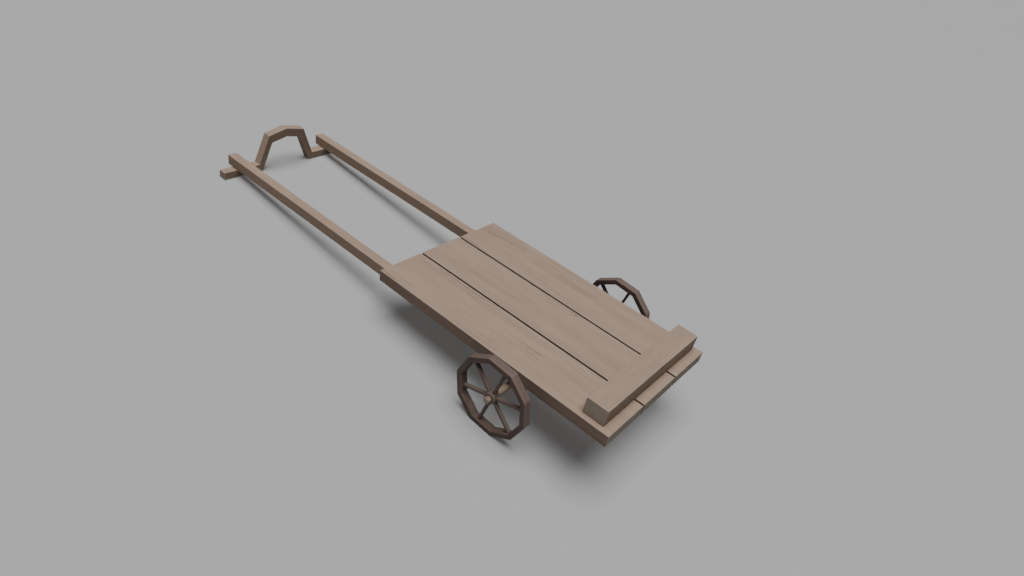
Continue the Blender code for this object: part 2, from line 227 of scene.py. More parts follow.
def mark(shape: Shape, place_of: PlaceRule, length: Limits, seed: int, edge: float) -> None:
    """Store each vertex's place in the grain, its wear and whether it lies on end grain.

    Args:
        shape: The mesh to mark.
        place_of: Gives a point's place along the grain and across it.
        length: The grain's place at the timber's two ends.
        seed: Shifts the figure, so that no two timbers show the same one.
        edge: The width of the rounded edges.
    """
    grain = shape.verts.layers.float_vector.new("grain")
    wear = shape.verts.layers.float.new("wear")
    cap = shape.verts.layers.float.new("cap")
    turns = (math.sin(HEART_TURN[0] * seed), math.cos(HEART_TURN[1] * seed))
    heart = [middle + swing * turn for middle, swing, turn in zip(HEART_MIDDLE, HEART_SWING, turns)]
    shift = Vector((FIGURE_STEP * seed, *heart))
    for vert in shape.verts:
        place = place_of(vert.co)
        creased = any(side.calc_face_angle(0.0) > CREASE_ANGLE for side in vert.link_edges)
        to_end = min(place.x - length[0], length[1] - place.x)
        vert[grain] = place + shift
        vert[wear] = 1.0 if creased else 0.0
        vert[cap] = 1.0 - min(1.0, max(0.0, to_end / edge))


def weather(shape: Shape, wear: Wear) -> None:
    """Sink a marked mesh's faces and edges in.

    Args:
        shape: The mesh, already marked.
        wear: How deep the wear goes.
    """
    shape.normal_update()
    grain = shape.verts.layers.float_vector["grain"]
    edges = shape.verts.layers.float["wear"]
    sunk = [(vert, vert.co - vert.normal * wear.sink(Vector(vert[grain]), vert[edges]))
            for vert in shape.verts]
    for vert, place in sunk:
        vert.co = place


# Steps in shaping a mesh

def extrude(shape: Shape, faces: Sequence[Face]) -> tuple[list[Vert], list[Face]]:
    """Extrude faces without moving them yet.

    Args:
        shape: The mesh.
        faces: The faces to extrude.

    Returns:
        The new end's vertices and faces.
    """
    made = bmesh.ops.extrude_face_region(shape, geom=faces)["geom"]
    return ([item for item in made if isinstance(item, Vert)],
            [item for item in made if isinstance(item, Face)])


def cut_loops(shape: Shape, axis: int, places: Sequence[float], step: float) -> None:
    """Cut loops round a mesh, square to an axis, and divide the bays between them.

    Args:
        shape: The mesh to cut.
        axis: The index of the axis.
        places: Where the loops stand along it, in order.
        step: About how long a piece of a bay becomes; infinite leaves the bays whole.
    """
    square = Vector((0, 0, 0))
    square[axis] = 1.0
    for place in places:
        bmesh.ops.bisect_plane(shape, geom=[*shape.verts, *shape.edges, *shape.faces],
                               dist=MERGE_DISTANCE, plane_co=square * place, plane_no=square)
    for start, end in zip(places, places[1:]):
        cuts = round((end - start) / step) - 1
        if cuts < 1:
            continue
        rails = []
        for edge in shape.edges:
            ends = sorted(vert.co[axis] for vert in edge.verts)
            if abs(ends[0] - start) < SEAT_GAP and abs(ends[1] - end) < SEAT_GAP:
                rails.append(edge)
        bmesh.ops.subdivide_edges(shape, edges=rails, cuts=cuts, use_grid_fill=True)


def round_edges(shape: Shape, edges: Sequence[Edge], width: float) -> None:
    """Round a mesh's edges.

    Args:
        shape: The mesh.
        edges: The edges to round.
        width: How far the rounding reaches from the edge.
    """
    bmesh.ops.bevel(shape, geom=list(edges), offset=width, offset_type="OFFSET", segments=ROUNDING_SEGMENTS,
                    profile=0.5, affect="EDGES", clamp_overlap=True, material=-1)


# Shapes of timber

@dataclass(frozen=True)
class SquaredTimber:
    """A straight sawn timber, which may have a groove below and a slanted far end."""

    span: Span
    grain: Grain
    seed: int
    edge: float = 0.003
    support: float = 0.012
    step: float = 0.014
    groove: Span | None = None
    far_slope: float = 0.0
    wear: Wear = Wear()

    def mesh(self) -> Shape:
        """Return the worn timber's mesh, in the axes of its span."""
        shape = self._grooved_body() if self.groove else self._plain_body()
        round_edges(shape, self.span.edges_of(shape) if self.groove else shape.edges, self.edge)
        along = self.grain.axis
        for axis in range(3):
            loops = [self.span.low[axis] + self.support, self.span.high[axis] - self.support]
            if axis == along and self.groove:
                loops.insert(1, self.groove.low[axis])
            if loops[0] < loops[-1]:
                cut_loops(shape, axis, loops, self.step if axis == along else math.inf)
        half = self.span.size[along] / 2
        centre = self.span.centre
        mark(shape, lambda point: self.grain.place(point - centre), (-half, half), self.seed, self.edge)
        weather(shape, self.wear)
        return shape

    def _plain_body(self) -> Shape:
        """Return a box of the timber's size, its far end slanted across z if it has a slope."""
        shape = bmesh.new()
        place = Matrix.Translation(self.span.centre) @ Matrix.Diagonal((*self.span.size, 1.0))
        bmesh.ops.create_cube(shape, size=1.0, matrix=place)
        for vert in shape.verts:
            if vert.co.x > self.span.centre.x:
                vert.co.x += self.far_slope * (vert.co.z - self.span.centre.z)
        return shape

    def _grooved_body(self) -> Shape:
        """Return a box with a groove below, open at the front end."""
        low, high, cut = self.span.low, self.span.high, self.groove
        shape = bmesh.new()
        start = cut.low.x
        corners = [(low.y, low.z), (cut.low.y, low.z), (cut.low.y, cut.high.z), (cut.high.y, cut.high.z),
                   (cut.high.y, low.z), (high.y, low.z), (high.y, high.z), (low.y, high.z)]
        verts = [shape.verts.new((start, y, z)) for y, z in corners]
        web = shape.faces.new(verts)
        stop = shape.faces.new([verts[1], verts[4], verts[3], verts[2]])
        for faces, reach in (([web], high.x - start), ([web, stop], low.x - start)):
            moved, _ = extrude(shape, faces)
            bmesh.ops.translate(shape, verts=moved, vec=(reach, 0, 0))
        bmesh.ops.delete(shape, geom=[web], context="FACES_ONLY")
        bmesh.ops.dissolve_limit(shape, angle_limit=FLAT_ANGLE, verts=shape.verts[:], edges=shape.edges[:])
        bmesh.ops.recalc_face_normals(shape, faces=shape.faces)
        return shape


@dataclass(frozen=True)
class SweptBar:
    """A bar whose sides follow two matched lines drawn in one plane."""

    outer: Sequence[Vector]
    inner: Sequence[Vector]
    sides: Limits
    stand: Callable[[float, float, float], Vector]
    place_of: PlaceRule
    length: Limits
    seed: int
    edge: float = 0.003
    step: float = 0.014
    cuts: int = 3
    wear: Wear = Wear()

    def mesh(self) -> Shape:
        """Return the worn bar's mesh, in the axes that stand gives."""
        shape = bmesh.new()
        stations = self._stations()
        end = shape.faces.new([shape.verts.new(corner) for corner in stations[0]])
        for before, after in zip(stations, stations[1:]):
            moved, ends = extrude(shape, [end])
            for vert in moved:
                nearest = min(range(len(before)), key=lambda index: (before[index] - vert.co).length)
                vert.co = after[nearest]
            if before is not stations[0]:
                bmesh.ops.delete(shape, geom=[end], context="FACES_ONLY")
            end = ends[0]
        bmesh.ops.recalc_face_normals(shape, faces=shape.faces)
        rungs = [edge for edge in shape.edges if self._is_rung(edge, stations)]
        bmesh.ops.subdivide_edges(shape, edges=rungs, cuts=self.cuts, use_grid_fill=True)
        square = [edge for edge in shape.edges if edge.calc_face_angle(0.0) > SQUARE_CORNER]
        round_edges(shape, square, self.edge)
        mark(shape, self.place_of, self.length, self.seed, self.edge)
        weather(shape, self.wear)
        return shape

    def _stations(self) -> list[list[Vector]]:
        """Return the four corners of the bar's section at each station along it."""
        near, far = self.sides
        stations = []
        for index in range(len(self.outer) - 1):
            run = (self.outer[index + 1] - self.outer[index]).length
            count = max(1, round(run / self.step))
            last = index == len(self.outer) - 2
            for part in range(count + 1 if last else count):
                top = self.outer[index].lerp(self.outer[index + 1], part / count)
                below = self.inner[index].lerp(self.inner[index + 1], part / count)
                stations.append([self.stand(top.x, top.y, near), self.stand(top.x, top.y, far),
                                 self.stand(below.x, below.y, far), self.stand(below.x, below.y, near)])
        return stations

    def _is_rung(self, edge: Edge, stations: list[list[Vector]]) -> bool:
        """Return whether an edge lies across the bar, within one of its stations."""
        middle = (edge.verts[0].co + edge.verts[1].co) / 2
        return any((middle - (first + second) / 2).length < SEAT_GAP
                   for corners in stations for first, second in zip(corners, corners[1:] + corners[:1]))


@dataclass(frozen=True)
class TurnedTimber:
    """A round timber turned about the y axis from the radii and places of its left half.

    A half that ends off the axis gives a tube.
    """

    half: Sequence[tuple[float, float]]
    seed: int
    sides: int = 56
    edge: float = 0.002
    wear: Wear = Wear()

    def mesh(self) -> Shape:
        """Return the worn turning's mesh, about the origin."""
        shape = bmesh.new()
        profile = [(radius, -along) for radius, along in reversed(self.half[1:])] + list(self.half)
        verts = [shape.verts.new((radius, along, 0.0)) for radius, along in profile]
        pairs = list(zip(verts, verts[1:]))
        if self.half[-1][0] > 0.0:
            pairs.append((verts[-1], verts[0]))
        edges = [shape.edges.new(pair) for pair in pairs]
        bmesh.ops.spin(shape, geom=verts + edges, cent=(0, 0, 0), axis=(0, 1, 0), angle=2 * math.pi,
                       steps=self.sides, use_merge=True)
        bmesh.ops.remove_doubles(shape, verts=shape.verts, dist=MERGE_DISTANCE)
        bmesh.ops.recalc_face_normals(shape, faces=shape.faces)
        end = max(along for _, along in self.half)
        mark(shape, Grain.ACROSS.place, (-end, end), self.seed, self.edge)
        weather(shape, self.wear)
        return shape


@dataclass(frozen=True)
class Peg:
    """A round wooden peg, driven in along a direction, with its head at a place."""

    head: Vector
    out: Vector
    radius: float
    length: float
    seed: int
    sides: int = 20
    edge: float = 0.0008

    def mesh(self) -> Shape:
        """Return the peg's mesh, in the axes of its head."""
        shape = bmesh.new()
        bmesh.ops.create_cone(shape, cap_ends=True, segments=self.sides, radius1=self.radius,
                              radius2=self.radius, depth=self.length)
        rims = [edge for edge in shape.edges if edge.calc_face_angle(0.0) > SQUARE_CORNER]
        round_edges(shape, rims, self.edge)
        mark(shape, Grain.UPRIGHT.place, (-self.length / 2, self.length / 2), self.seed, self.edge)
        turn = self.out.to_track_quat("Z", "Y").to_matrix().to_4x4()
        middle = self.head - self.out * self.length / 2
        bmesh.ops.transform(shape, matrix=Matrix.Translation(middle) @ turn, verts=shape.verts)
        return shape


# Shader nodes

class Lumps(Enum):
    """Noises, each as its lumps per metre along the grain and across it, and its detail."""

    DRIFT = (1.1, 5.0, 3.0)
    FIBRE = (7.0, 330.0, 3.0)
    STREAK = (0.8, 13.0, 4.0)
    SEAM = (0.9, 42.0, 1.0)
    CRACKED = (1.4, 9.0, 1.0)
    RUBBED = (26.0, 90.0, 3.0)
    BROAD_DIRT = (3.0, 8.0, 4.0)
    FINE_DIRT = (60.0, 170.0, 2.0)
    PAINT = (0.7, 0.7, 3.0)


class Sheet:
    """Adds nodes to one tree and links them by socket."""

    def __init__(self, tree: Tree) -> None:
        """Keep the tree that the nodes go into."""
        self.tree = tree

    def feed(self, node: bpy.types.Node, inputs: dict[Any, Any]) -> bpy.types.Node:
        """Give a node's inputs their sockets or plain values.

        Args:
            node: The node.
            inputs: A value or a socket for each named or numbered input.

        Returns:
            The node.
        """
        for name, value in inputs.items():
            if isinstance(value, Socket):
                self.tree.links.new(value, node.inputs[name])
            else:
                node.inputs[name].default_value = value
        return node

    def node(self, kind: str, inputs: dict[Any, Any], **settings: Any) -> bpy.types.Node:
        """Add a node.

        Args:
            kind: The node's type, without its ShaderNode prefix.
            inputs: A value or a socket for each named or numbered input.
            settings: The node's own settings.

        Returns:
            The new node.
        """
        made = self.tree.nodes.new("ShaderNode" + kind)
        for name, value in settings.items():
            setattr(made, name, value)
        return self.feed(made, inputs)

    def group(self, tree: Tree, inputs: dict[str, Any]) -> Any:
        """Return the outputs of a group, given its inputs."""
        return self.node("Group", inputs, node_tree=tree).outputs

    def math(self, operation: str, first: Any, second: Any = 0.0, third: Any = 0.0) -> Socket:
        """Return the result of a Math node."""
        return self.node("Math", {0: first, 1: second, 2: third}, operation=operation).outputs[0]

    def vector(self, operation: str, first: Any, second: Any, output: str = "Vector") -> Socket:
        """Return the result of a Vector Math node on two vectors."""
        return self.node("VectorMath", {0: first, 1: second}, operation=operation).outputs[output]

    def scale(self, colour: Any, amount: Any) -> Socket:
        """Return a colour times a number."""
        return self.node("VectorMath", {0: colour, "Scale": amount}, operation="SCALE").outputs[0]

    def step(self, value: Any, low: Any, high: Any, to_low: float = 0.0, to_high: float = 1.0) -> Socket:
        """Return a value eased between two limits."""
        limits = {"Value": value, "From Min": low, "From Max": high, "To Min": to_low, "To Max": to_high}
        return self.node("MapRange", limits, interpolation_type="SMOOTHSTEP").outputs["Result"]

    def sway(self, value: Any, middle: float, swing: float) -> Socket:
        """Return a number that sways about a middle as a noise does."""
        return self.step(value, *USUAL_NOISE, middle - swing / 2, middle + swing / 2)

    def noise(self, place: Any, lumps: Lumps, output: str = "Fac") -> Socket:
        """Return a noise that is stretched along the grain."""
        along, across, detail = lumps.value
        scaled = self.vector("MULTIPLY", place, (along, across, across))
        return self.node("TexNoise", {"Vector": scaled, "Scale": 1.0, "Detail": detail}).outputs[output]

    def lots(self, value: Any, output: str) -> Socket:
        """Return a random number or colour for each whole part of a value."""
        whole = self.math("FLOOR", value)
        return self.node("TexWhiteNoise", {"W": whole}, noise_dimensions="1D").outputs[output]

    def mix(self, share: Any, first: Any, second: Any) -> Socket:
        """Return two numbers mixed by a share."""
        return self.node("Mix", {0: share, 2: first, 3: second}, data_type="FLOAT").outputs[0]

    def blend(self, share: Any, first: Any, second: Triple) -> Socket:
        """Return a colour mixed with a plain one by a share."""
        return self.node("Mix", {0: share, 6: first, 7: (*second, 1.0)}, data_type="RGBA").outputs[2]


def new_group(name: str, vector: str, numbers: Sequence[str],
              outputs: Sequence[str]) -> tuple[Sheet, Any, Any]:
    """Start a shader node group that puts out numbers.

    Args:
        name: The group's name.
        vector: The name of its vector input.
        numbers: The names of its number inputs.
        outputs: The names of its outputs.

    Returns:
        A sheet for the group's nodes, the sockets that it is given, and its output node.
    """
    tree = bpy.data.node_groups.new(name, "ShaderNodeTree")
    tree.interface.new_socket(name=vector, in_out="INPUT", socket_type="NodeSocketVector")
    for direction, labels in (("INPUT", numbers), ("OUTPUT", outputs)):
        for label in labels:
            tree.interface.new_socket(name=label, in_out=direction, socket_type="NodeSocketFloat")
    return Sheet(tree), tree.nodes.new("NodeGroupInput").outputs, tree.nodes.new("NodeGroupOutput")


@dataclass(frozen=True)
class TimberEffects:
    """The node groups that every finish shares, with the numbers that they are drawn by."""

    late_wood: Limits = (0.25, 0.95)
    ring_swing: float = 0.6
    faintest_ring: float = 0.4
    seam_width: float = 0.011
    cracked: Limits = (0.56, 0.66)
    fibre_relief: float = 0.55
    ring_relief: float = 0.25
    crack_relief: float = 1.6
    end_checks: int = 26
    check_start: float = 0.18
    check_reach: float = 0.09
    check_edge: Limits = (0.0003, 0.0010)
    rubbed: Limits = (0.75, 1.25)
    fine_dirt: float = 0.35
    dirty: Limits = (0.52, 0.86)

    def figure(self) -> Tree:
        """Return the group that draws a timber's rings, fibres, streaks and drying cracks."""
        sheet, given, made = new_group("timber_figure", "Place", ("Cap", "Ring Width", "Wander"),
                                       ("Ring", "Fibre", "Streak", "Crack", "Height"))
        place = given["Place"]
        bend = sheet.vector("SUBTRACT", sheet.noise(place, Lumps.DRIFT, "Color"), (0.5, 0.5, 0.5))
        wavy = sheet.vector("ADD", place, sheet.scale(bend, given["Wander"]))
        square = sheet.vector("MULTIPLY", wavy, (0.0, 1.0, 1.0))
        radius = sheet.vector("LENGTH", square, (0.0, 0.0, 0.0), "Value")
        rings = sheet.math("DIVIDE", radius, given["Ring Width"])
        year = sheet.lots(rings, "Value")
        strength = sheet.math("MULTIPLY_ADD", year, self.ring_swing, self.faintest_ring)
        ring = sheet.math("MULTIPLY", sheet.step(sheet.math("FRACT", rings), *self.late_wood), strength)
        fibre = sheet.noise(place, Lumps.FIBRE)
        seam = sheet.math("ABSOLUTE", sheet.math("SUBTRACT", sheet.noise(wavy, Lumps.SEAM), 0.5))
        where = sheet.step(sheet.noise(place, Lumps.CRACKED), *self.cracked)
        crack = sheet.math("MULTIPLY", sheet.step(seam, 0.0, self.seam_width, 1.0, 0.0), where)
        crack = sheet.mix(given["Cap"], crack, self._end_check(sheet, square, radius))
        height = sheet.math("ADD", sheet.math("MULTIPLY", fibre, self.fibre_relief),
                            sheet.math("MULTIPLY", ring, self.ring_relief))
        height = sheet.math("SUBTRACT", height, sheet.math("MULTIPLY", crack, self.crack_relief))
        sheet.feed(made, {"Ring": ring, "Fibre": fibre, "Streak": sheet.noise(place, Lumps.STREAK),
                          "Crack": crack, "Height": height})
        return sheet.tree

    def _end_check(self, sheet: Sheet, square: Socket, radius: Socket) -> Socket:
        """Return the straight splits that point at a timber's heart on its end grain.

        Args:
            sheet: The sheet of the figure group.
            square: The place square to the grain.
            radius: The distance from the heart.

        Returns:
            One in a split.
        """
        parts = sheet.node("SeparateXYZ", {0: square}).outputs
        angle = sheet.math("ARCTAN2", parts["Z"], parts["Y"])
        turn = sheet.math("MULTIPLY", angle, self.end_checks / (2 * math.pi))
        drawn = sheet.node("SeparateXYZ", {0: sheet.lots(turn, "Color")}).outputs
        aside = sheet.math("ABSOLUTE", sheet.math("SUBTRACT", sheet.math("FRACT", turn), 0.5))
        aside = sheet.math("MULTIPLY", sheet.math("MULTIPLY", aside, radius), 2 * math.pi / self.end_checks)
        past = sheet.math("SUBTRACT", radius, sheet.math("MULTIPLY", drawn["X"], self.check_start))
        reach = sheet.math("MULTIPLY", drawn["Y"], self.check_reach)
        within = sheet.math("MULTIPLY", sheet.math("GREATER_THAN", past, 0.0),
                            sheet.math("LESS_THAN", past, reach))
        return sheet.math("MULTIPLY", sheet.step(aside, *self.check_edge, 1.0, 0.0), within)

    def wear(self) -> Tree:
        """Return the group that says where edges are rubbed bare, broken up along the grain."""
        sheet, given, made = new_group("edge_wear", "Place", ["Wear"], ["Mask"])
        rough = sheet.math("SUBTRACT", sheet.noise(given["Place"], Lumps.RUBBED), 0.5)
        sheet.feed(made, {"Mask": sheet.step(sheet.math("ADD", given["Wear"], rough), *self.rubbed)})
        return sheet.tree

    def grime(self) -> Tree:
        """Return the group that lays dust and grime in patches along the grain."""
        sheet, given, made = new_group("grime", "Place", ["Amount"], ["Mask"])
        fine = sheet.math("MULTIPLY", sheet.noise(given["Place"], Lumps.FINE_DIRT), self.fine_dirt)
        dirt = sheet.math("ADD", sheet.noise(given["Place"], Lumps.BROAD_DIRT), fine)
        sheet.feed(made, {"Mask": sheet.math("MULTIPLY", sheet.step(dirt, *self.dirty), given["Amount"])})
        return sheet.tree

    def painted_shade_faces(self) -> Tree:
        """Return the group that tells faces turned towards an axis from the ones that get painted shade."""
        sheet, given, made = new_group("painted_shade_faces", "Axis", ["Low", "High"], ["Mask"])
        normal = sheet.node("NewGeometry", {}).outputs["Normal"]
        turned = sheet.vector("DOT_PRODUCT", normal, given["Axis"], "Value")

        # Where High is below Low, a face counts alike whichever way along the axis it is turned
        alike = sheet.math("LESS_THAN", given["High"], given["Low"])
        turned = sheet.mix(alike, turned, sheet.math("ABSOLUTE", turned))
        sheet.feed(made, {"Mask": sheet.step(turned, given["Low"], given["High"])})
        return sheet.tree


# Finishes

class PaintedShadeAxis(Enum):
    """Which faces stay bright and which get painted shade, as an axis and the limits of a face's turn towards it.
    """

    # SKY paints shade on faces turned away from above; TREAD paints it on a wheel's faces square to the axle
    SKY = ((0.0, 0.0, 1.0), 0.05, 0.42)
    TREAD = ((0.0, 1.0, 0.0), 0.90, 0.50)


@dataclass(frozen=True)
class TimberFinish:
    """One timber's colours with its painted shade, how strong its figure is and how it has worn."""

    name: str
    slot: str
    base: Triple
    end_grain: Triple
    painted_shade_axis: PaintedShadeAxis = PaintedShadeAxis.SKY
    # The share of the base colour left on faces that get painted shade, turned away from the light
    painted_shade_tone: float = 0.72
    late: float = 0.90
    worn: Triple = (0.40, 0.33, 0.27)
    grime: Triple = (0.12, 0.09, 0.07)
    ring_width: float = 0.0055
    wander: float = 0.030
    streak: float = 0.12
    fibre: float = 0.14
    worn_share: float = 0.55
    grime_share: float = 0.10
    crack_share: float = 0.75
    roughness: float = 0.78
    roughness_swing: float = 0.12
    specular: float = 0.25
    bump: float = 0.0009

    def material(self, effects: dict[str, Tree]) -> bpy.types.Material:
        """Build the finish's material.

        Args:
            effects: The shared node groups, by name.

        Returns:
            The material, which reads each piece's grain, wear and cap marks.
        """
        made = bpy.data.materials.new(self.name)
        made.use_nodes = True
        sheet = Sheet(made.node_tree)
        place = sheet.node("Attribute", {}, attribute_name="grain").outputs["Vector"]
        wear = sheet.node("Attribute", {}, attribute_name="wear").outputs["Fac"]
        cap = sheet.node("Attribute", {}, attribute_name="cap").outputs["Fac"]
        figure = sheet.group(effects["figure"], {"Place": place, "Cap": cap, "Ring Width": self.ring_width,
                                                 "Wander": self.wander})
        rubbed = sheet.group(effects["wear"], {"Place": place, "Wear": wear})["Mask"]
        dirty = sheet.group(effects["grime"], {"Place": place, "Amount": self.grime_share})["Mask"]
        faces = sheet.group(effects["painted_shade_faces"], dict(zip(("Axis", "Low", "High"), self.painted_shade_axis.value)))
        # Painted shade: faces turned away from the light get a darker base colour
        shade = sheet.step(faces["Mask"], 0.0, 1.0, self.painted_shade_tone, 1.0)
        ring = sheet.step(figure["Ring"], 0.0, 1.0, 1.0 + (1.0 - self.late) / 2, self.late)
        streak = sheet.sway(figure["Streak"], 1.0, self.streak)
        fibre = sheet.sway(figure["Fibre"], 1.0, self.fibre)
        tone = sheet.math("MULTIPLY", sheet.math("MULTIPLY", ring, streak), fibre)
        colour = sheet.blend(cap, sheet.scale(self.base, shade), self.end_grain)
        colour = sheet.blend(dirty, sheet.scale(colour, tone), self.grime)
        colour = sheet.blend(sheet.math("MULTIPLY", rubbed, self.worn_share), colour, self.worn)
        colour = sheet.blend(sheet.math("MULTIPLY", figure["Crack"], self.crack_share), colour, self.grime)
        rough = sheet.sway(figure["Fibre"], self.roughness, self.roughness_swing)
        relief = sheet.node("Bump", {"Height": figure["Height"], "Distance": self.bump, "Strength": 1.0})
        sheet.feed(made.node_tree.nodes["Principled BSDF"],
                   {"Base Color": colour, "Roughness": rough, "Normal": relief.outputs["Normal"],
                    "Specular IOR Level": self.specular})
        return made


# The planks' end grain is painted darker, for the shade on the deck's rear ends
PLANK = TimberFinish("plank_timber", "deck_wood", (0.328, 0.237, 0.179), (0.235, 0.197, 0.157),
                     painted_shade_tone=0.58)
# The block is the plank timber with lighter painted end grain and less painted shade, for the light on its ends
BLOCK = replace(PLANK, name="block_timber_painted_lighter", end_grain=(0.310, 0.260, 0.207), painted_shade_tone=0.70)
FRAME = TimberFinish("frame_timber", "frame_wood", (0.328, 0.235, 0.174), (0.290, 0.228, 0.175),
                     painted_shade_tone=0.84, ring_width=0.0045)
# The yoke is the frame timber with deeper painted shade on faces turned from the light
YOKE = replace(FRAME, name="yoke_timber_deeper_painted_shade", base=(0.335, 0.243, 0.183), end_grain=(0.270, 0.222, 0.176),
               painted_shade_tone=0.68)
WHEEL = TimberFinish("wheel_timber", "wheel_wood", (0.140, 0.099, 0.086), (0.124, 0.092, 0.080),
                     painted_shade_axis=PaintedShadeAxis.TREAD, painted_shade_tone=0.77, worn=(0.20, 0.153, 0.127),
                     grime=(0.05, 0.038, 0.033), ring_width=0.0035, wander=0.016, streak=0.30)
# Hubs and spokes get the wheel timber painted lighter, standing in for light that the rim's and deck's shade takes
# from them
PAINTED_LIGHT_SPOKE = replace(WHEEL, name="spoke_timber_painted_lighter", base=(0.182, 0.134, 0.116), end_grain=(0.150, 0.111, 0.096),
                worn=(0.22, 0.168, 0.140), grime=(0.06, 0.046, 0.040))
PEG = TimberFinish("peg_timber", "pin_wood", (0.300, 0.218, 0.160), (0.270, 0.205, 0.150),
                   ring_width=0.0022, wander=0.004, worn_share=0.3)


# Sub-assemblies

def add_object(name: str, data: bpy.types.ID) -> bpy.types.Object:
    """Add an object to the scene.

    Args:
        name: The object's name.
        data: Its mesh, lamp or camera.

    Returns:
        The object.
    """
    made = bpy.data.objects.new(name, data)
    bpy.context.scene.collection.objects.link(made)
    return made


def add_mesh(shape: Shape, name: str, material: bpy.types.Material) -> bpy.types.Object:
    """Turn a mesh into an object in the scene.

    Args:
        shape: The mesh, which is used up.
        name: The object's name.
        material: What it is made of.

    Returns:
        The object.
    """
    mesh = bpy.data.meshes.new(name)
    shape.to_mesh(mesh)
    shape.free()
    mesh.materials.append(material)
    return add_object(name, mesh)


@dataclass
class Joiner:
    """Dresses finished meshes and fits them to the cart's bodies."""

    axes: LevelAxes
    finishes: Sequence[TimberFinish]
    materials: dict[str, bpy.types.Material] = field(init=False)

    def __post_init__(self) -> None:
        """Build the shared groups and every finish's material."""
        shared = TimberEffects()
        effects = {"figure": shared.figure(), "wear": shared.wear(), "grime": shared.grime(),
                   "painted_shade_faces": shared.painted_shade_faces()}
        self.materials = {finish.name: finish.material(effects) for finish in self.finishes}

    def fit(self, shape: Shape, name: str, finish: TimberFinish, *nodes: str, body: str = "cart",
            to_floor: Matrix | None = None) -> None:
        """Turn a mesh into a dressed piece that rides on a body.

        Args:
            shape: The piece's mesh, which is used up.
            name: The piece's name.
            finish: What it is made of.
            nodes: The nodes that it stands for.
            body: The body that it rides on.
            to_floor: The matrix from the mesh's axes to the floor's, for a mesh that isn't in level axes.
        """
        matrix = self.axes.to_floor if to_floor is None else to_floor
        bmesh.ops.transform(shape, matrix=matrix, verts=shape.verts)
        piece = add_mesh(shape, name, self.materials[finish.name])
        piece.data.shade_smooth()
        piece.data.set_sharp_from_angle(angle=SMOOTH_ANGLE)
        flat = piece.modifiers.new("flat_faces", "WEIGHTED_NORMAL")
        flat.keep_sharp = True
        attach(piece, body)
        if nodes:
            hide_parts(*nodes)
        LOG.info("%s: %d vertices on body %s", name, len(piece.data.vertices), body)


@dataclass
class Assembly:
    """A sub-assembly of the cart, whose pieces a joiner fits."""

    joiner: Joiner

    def span(self, node: str) -> Span:
        """Return a node's box in level axes."""
        return self.joiner.axes.span(node)


@dataclass
class Deck(Assembly):
    """Three long planks with open joints and the block across their rear ends."""

    def build(self) -> None:
        """Fit the planks and the block."""
        for index, side in enumerate(("left", "centre", "right")):
            node = f"deck_plank_{side}"
            groove = None if side == "centre" else self._groove(side)
            plank = SquaredTimber(self.span(node), Grain.FORWARD, Seed.PLANK + index, groove=groove)
            self.joiner.fit(plank.mesh(), f"{side}_deck_plank", PLANK, node)
        span = self.span("rear_block")
        span.low.z = self.span("deck_plank_centre").high.z + SEAT_GAP
        block = SquaredTimber(span, Grain.ACROSS, Seed.BLOCK)
        self.joiner.fit(block.mesh(), "raised_rear_block", BLOCK, "rear_block")

    def _groove(self, side: str) -> Span:
        """Return the groove in a side's plank that the side's shaft lies in."""
        shaft, room = self.span(f"shaft_{side}"), Vector((SEAT_GAP,) * 3)
        return Span(shaft.low - room, shaft.high + room)


